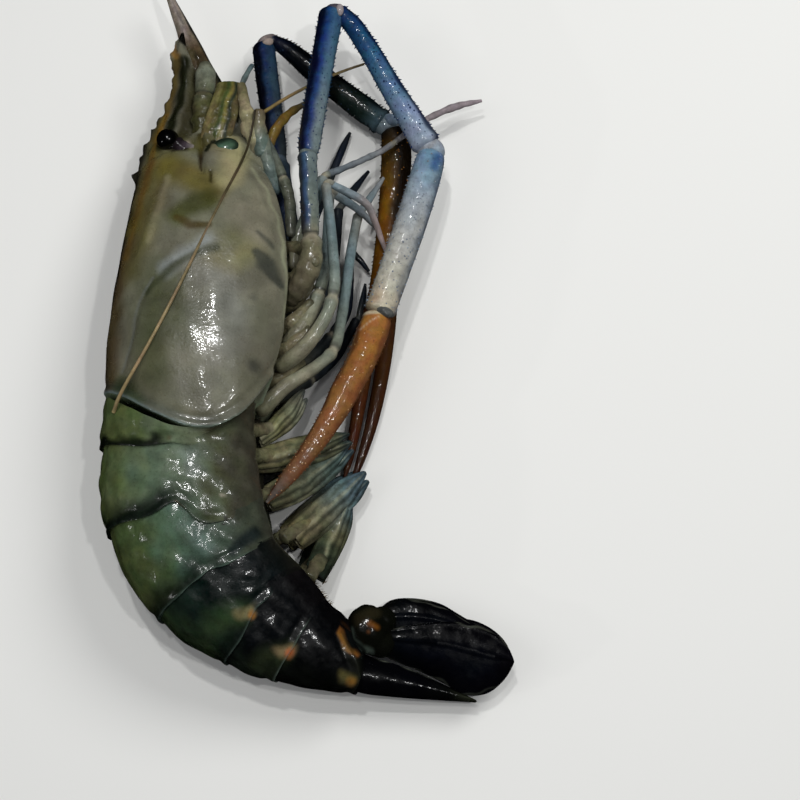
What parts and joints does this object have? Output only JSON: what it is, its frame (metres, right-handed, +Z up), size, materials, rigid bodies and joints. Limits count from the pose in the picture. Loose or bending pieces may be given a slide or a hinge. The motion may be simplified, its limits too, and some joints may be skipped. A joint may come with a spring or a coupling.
{
  "type": "raw river prawn",
  "caption": "Whole raw river prawn lying on its side: grey-olive shell, dark curled tail with fan, long blue claws with brown fingers, thin legs, swimmerets and feelers.",
  "frame": {"origin": "centre of the bounding box in plan, at the height of the surface that the prawn lies on", "axes": "+Y towards the head, +X towards the belly and legs, +Z up, the prawn's right side uppermost"},
  "size_m": [0.1182, 0.2218, 0.0429],
  "materials": {
    "shell": "wet translucent grey-olive shell with green-brown back",
    "tail_shell": "wet dark green to blue-black shell with pale hinge spots",
    "tail_fan": "wet near-black violet shell with a thin pale rim",
    "claw_blue": "wet blue shell with dark dots and small spines",
    "claw_pale": "wet blue-white shell with dark dots and small spines",
    "finger_brown": "orange-brown velvety shell, glossy where wet",
    "leg": "wet grey-blue thin shell",
    "swimmeret": "wet thin olive to blue-grey blades",
    "feeler": "wet olive and cream striped shell",
    "whisker": "beige-brown ringed horn",
    "eye": "wet black eye on a purple-grey stalk"
  },
  "bodies": {
    "root": {"carapace": "shell", "abdomen_1": "tail_shell", "abdomen_2": "tail_shell", "abdomen_3": "tail_shell", "abdomen_4": "tail_shell", "abdomen_5": "tail_shell", "abdomen_6": "tail_shell", "telson": "tail_fan", "uropod_right_outer": "tail_fan", "uropod_right_inner": "tail_fan", "uropod_left_outer": "tail_fan", "uropod_left_inner": "tail_fan", "eye_right": "eye", "eye_left": "eye", "antennule_right": "feeler", "antennule_left": "feeler", "antennal_scale_right": "feeler", "antennal_scale_left": "feeler", "antenna_base_left": "feeler", "antenna_base_right": "feeler", "antenna_whip_right": "whisker", "antenna_whip_left": "whisker", "mouth_leg_right": "feeler", "mouth_leg_left": "feeler", "claw_right_ischium": "claw_pale", "claw_right_merus": "claw_blue", "claw_right_carpus": "claw_blue", "claw_right_palm": "claw_pale", "claw_right_finger": "finger_brown", "claw_left_ischium": "claw_blue", "claw_left_merus": "claw_blue", "claw_left_carpus": "claw_blue", "claw_left_palm": "finger_brown", "claw_left_finger": "finger_brown", "leg1_right_upper": "leg", "leg1_right_lower": "leg", "leg1_left_upper": "leg", "leg1_left_lower": "leg", "leg3_right_upper": "leg", "leg3_right_lower": "leg", "leg3_left_upper": "leg", "leg3_left_lower": "leg", "leg4_right_upper": "leg", "leg4_right_lower": "leg", "leg4_left_upper": "leg", "leg4_left_lower": "leg", "leg5_right_upper": "leg", "leg5_right_lower": "leg", "leg5_left_upper": "leg", "leg5_left_lower": "leg", "swimmeret_right_1": "swimmeret", "swimmeret_right_2": "swimmeret", "swimmeret_right_3": "swimmeret", "swimmeret_right_4": "swimmeret", "swimmeret_right_5": "swimmeret", "swimmeret_left_1": "swimmeret", "swimmeret_left_2": "swimmeret", "swimmeret_left_3": "swimmeret", "swimmeret_left_4": "swimmeret", "swimmeret_left_5": "swimmeret"}
  },
  "joints": []
}
